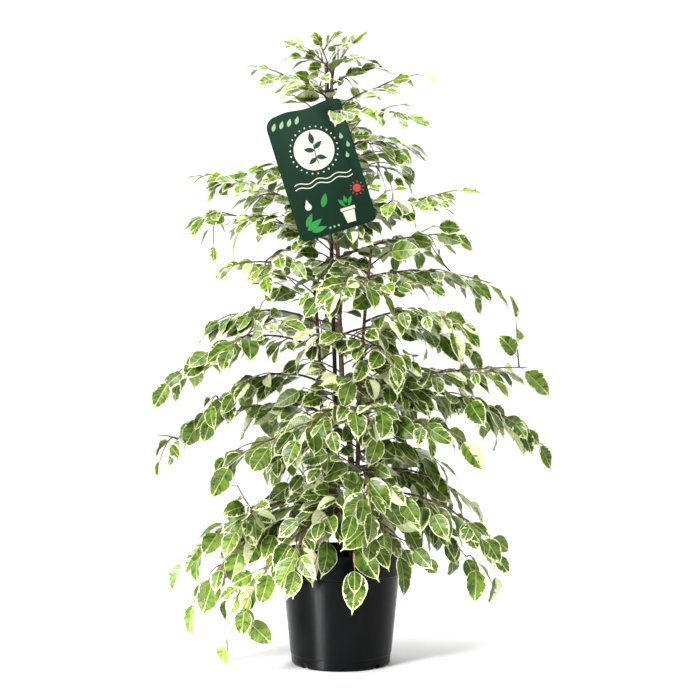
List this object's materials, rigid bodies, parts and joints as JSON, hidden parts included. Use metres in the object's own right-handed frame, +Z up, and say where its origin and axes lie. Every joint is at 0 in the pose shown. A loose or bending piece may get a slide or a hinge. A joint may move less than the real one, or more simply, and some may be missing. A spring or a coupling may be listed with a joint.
{
  "type": "variegated weeping fig in a nursery pot",
  "caption": "Tall variegated weeping fig with arching leafy branches, staked and tagged, standing in a round black nursery pot filled with peat.",
  "frame": {"origin": "middle of the pot's flat underside, on the surface that the plant stands on", "axes": "+Z up along the plant, -Y towards the viewer and the side that the tag hangs on, +X to the viewer's right"},
  "size_m": [0.672, 0.4373, 1.0523],
  "materials": {
    "pot_plastic": "semi-matt black moulded plastic",
    "peat": "rough, fibrous, damp",
    "stake_plastic": "satin black",
    "bark": "smooth young bark with small pale pores",
    "fig_leaf": "satin leaf, green with a cream margin",
    "tag_card": "satin printed card"
  },
  "bodies": {
    "root": {"pot": "pot_plastic", "peat": "peat", "stake": "stake_plastic", "stake_tie": "stake_plastic", "care_tag": "tag_card", "stem_main": "bark", "stem_left": "bark", "stem_right": "bark", "branch_tag": "fig_leaf", "branch_01": "fig_leaf", "branch_02": "fig_leaf", "branch_03": "fig_leaf", "branch_04": "fig_leaf", "branch_05": "fig_leaf", "branch_06": "fig_leaf", "branch_07": "fig_leaf", "branch_08": "fig_leaf", "branch_09": "fig_leaf", "branch_10": "fig_leaf", "branch_11": "fig_leaf", "branch_12": "fig_leaf", "branch_13": "fig_leaf", "branch_14": "fig_leaf", "branch_15": "fig_leaf", "branch_16": "fig_leaf", "branch_17": "fig_leaf", "branch_18": "fig_leaf", "branch_19": "fig_leaf", "branch_20": "fig_leaf", "branch_21": "fig_leaf", "branch_22": "fig_leaf", "branch_23": "fig_leaf", "branch_24": "fig_leaf", "branch_25": "fig_leaf", "branch_26": "fig_leaf", "branch_27": "fig_leaf", "branch_28": "fig_leaf", "branch_29": "fig_leaf", "branch_30": "fig_leaf", "branch_31": "fig_leaf", "branch_32": "fig_leaf", "branch_33": "fig_leaf", "branch_34": "fig_leaf", "branch_35": "fig_leaf", "branch_36": "fig_leaf", "branch_37": "fig_leaf", "branch_38": "fig_leaf", "branch_39": "fig_leaf", "branch_40": "fig_leaf", "branch_41": "fig_leaf", "branch_42": "fig_leaf", "branch_43": "fig_leaf", "branch_44": "fig_leaf", "branch_45": "fig_leaf", "branch_46": "fig_leaf", "branch_47": "fig_leaf", "branch_48": "fig_leaf", "branch_49": "fig_leaf", "branch_50": "fig_leaf", "branch_51": "fig_leaf"}
  },
  "joints": []
}
